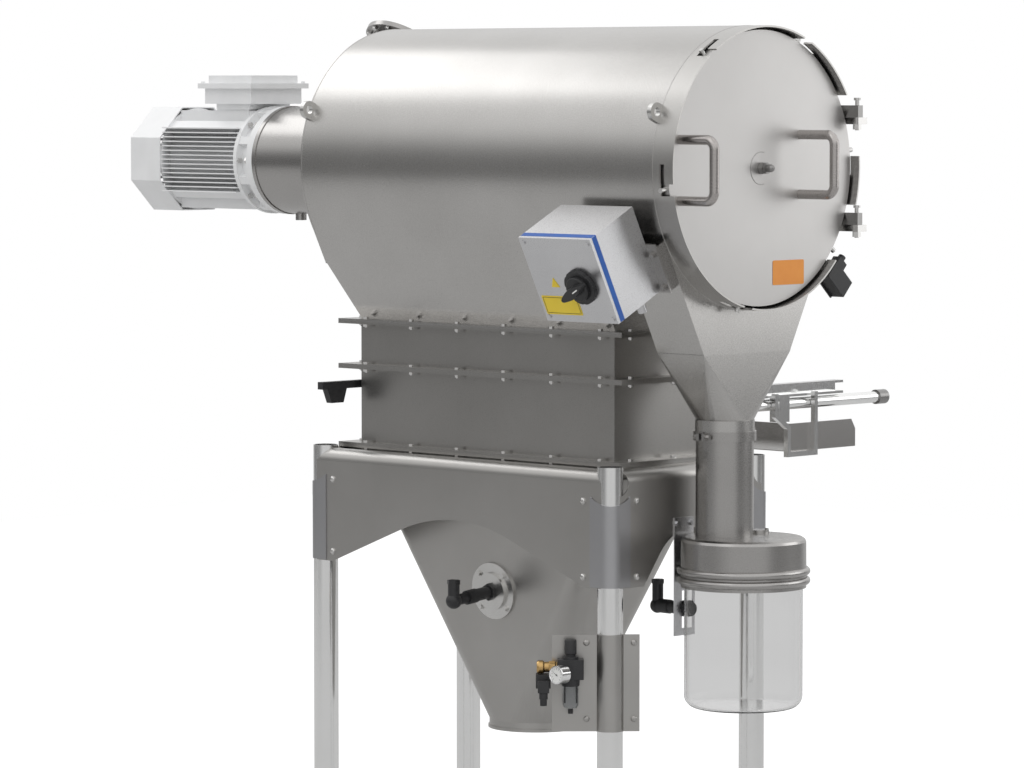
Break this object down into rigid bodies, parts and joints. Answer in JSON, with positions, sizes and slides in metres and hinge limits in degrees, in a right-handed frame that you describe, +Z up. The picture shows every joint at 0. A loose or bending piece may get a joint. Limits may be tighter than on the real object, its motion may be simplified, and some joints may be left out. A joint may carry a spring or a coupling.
{
  "type": "drum sieving machine",
  "caption": "Horizontal drum sieving machine on a four-legged frame, with square-to-round hopper, bayonet-locked round door, overtails jar and rear motor.",
  "frame": {"origin": "floor level, midway between the four legs, at the centre of the outer anchor holes", "axes": "+Z up, -Y towards the round door, +X to the right as seen facing the door"},
  "size_m": [1.3874, 2.154, 2.2195],
  "materials": {
    "steel_drum": "fine bead blasted stainless, satin",
    "steel_frame": "matt pickled stainless sheet",
    "steel_bright": "bright brushed tube",
    "steel_cover": "matt bluish grey",
    "steel_bolt": "turned",
    "motor_paint": "smooth light paint",
    "clear_jar": "clear moulded",
    "black_plastic": "fine grain",
    "dark_rubber": "smooth",
    "gauge_metal": "polished",
    "brass_valve": "machined",
    "cast_rotor": "machined"
  },
  "bodies": {
    "machine": {"legs": "steel_bright", "foot_plates": "steel_bright", "side_panels": "steel_frame", "end_panels": "steel_frame", "corner_covers": "steel_cover", "cover_bolts": "steel_bolt", "hopper": "steel_frame", "hopper_port": "steel_frame", "hopper_sensor": "black_plastic", "lower_box": "steel_frame", "upper_box": "steel_frame", "flange_bolts": "steel_bolt", "drum_housing": "steel_drum", "rear_plate": "steel_drum", "locking_collar": "steel_drum", "partition_ring": "steel_drum", "reject_funnel": "steel_drum", "reject_clamp": "steel_drum", "reject_tube": "steel_drum", "jar_lid": "steel_drum", "jar_lid_window": "steel_drum", "jar_sensor": "black_plastic", "jar_sensor_plate": "steel_drum", "sieve_basket": "steel_drum", "inlet_housing": "steel_drum", "inlet_nozzle": "steel_drum", "nozzle_bolts": "steel_bolt", "shaft_bearing": "cast_rotor", "motor_flange": "motor_paint", "motor_frame": "motor_paint", "fan_cowl": "motor_paint", "terminal_box": "motor_paint", "motor_bolts": "steel_bolt", "hinge_brackets": "steel_drum", "hinge_pins": "steel_bolt", "lifting_lugs": "steel_bolt", "isolator_box": "steel_drum", "isolator_bracket": "steel_drum", "interlock_switch": "black_plastic", "magnet_rails": "steel_bright", "magnet_tray": "steel_drum", "rear_lever": "black_plastic", "air_bracket": "steel_frame", "air_regulator": "black_plastic", "air_gauge": "gauge_metal", "air_valve": "brass_valve"},
    "rotor": {"rotor_shaft": "steel_bright", "beaters": "steel_drum", "feed_screw": "steel_drum", "motor_rotor": "cast_rotor", "motor_fan": "black_plastic"},
    "yoke": {"door_yoke": "steel_drum"},
    "door": {"door_disc": "steel_drum", "door_seal": "dark_rubber", "door_pins": "steel_bolt", "door_handles": "steel_bright"},
    "knob": {"isolator_knob": "black_plastic"},
    "drawer": {"magnet_drawer": "steel_bright", "magnet_caps": "black_plastic"},
    "jar": {"jar": "clear_jar"}
  },
  "joints": [
    {"name": "rotor_spin", "type": "hinge", "parent": "machine", "child": "rotor", "pos_m": [0, 0, 1.867], "axis": [0, 1, 0], "continuous": true},
    {"name": "door_swing", "type": "hinge", "parent": "machine", "child": "yoke", "pos_m": [0.307, -0.745, 1.867], "axis": [0, 0, 1], "range_deg": [0, 110]},
    {"name": "door_turn", "type": "hinge", "parent": "yoke", "child": "door", "pos_m": [0, -0.7, 1.867], "axis": [0, 1, 0], "range_deg": [0, 8]},
    {"name": "isolator_turn", "type": "hinge", "parent": "machine", "child": "knob", "pos_m": [-0.44302, -0.569, 1.60624], "axis": [-0.8926, 0, -0.4509], "range_deg": [0, 90]},
    {"name": "drawer_slide", "type": "slide", "parent": "machine", "child": "drawer", "axis": [1, 0, 0], "range_m": [0, 0.28]},
    {"name": "jar_lower", "type": "slide", "parent": "machine", "child": "jar", "axis": [0, 0, -1], "range_m": [0, 0.06]}
  ]
}
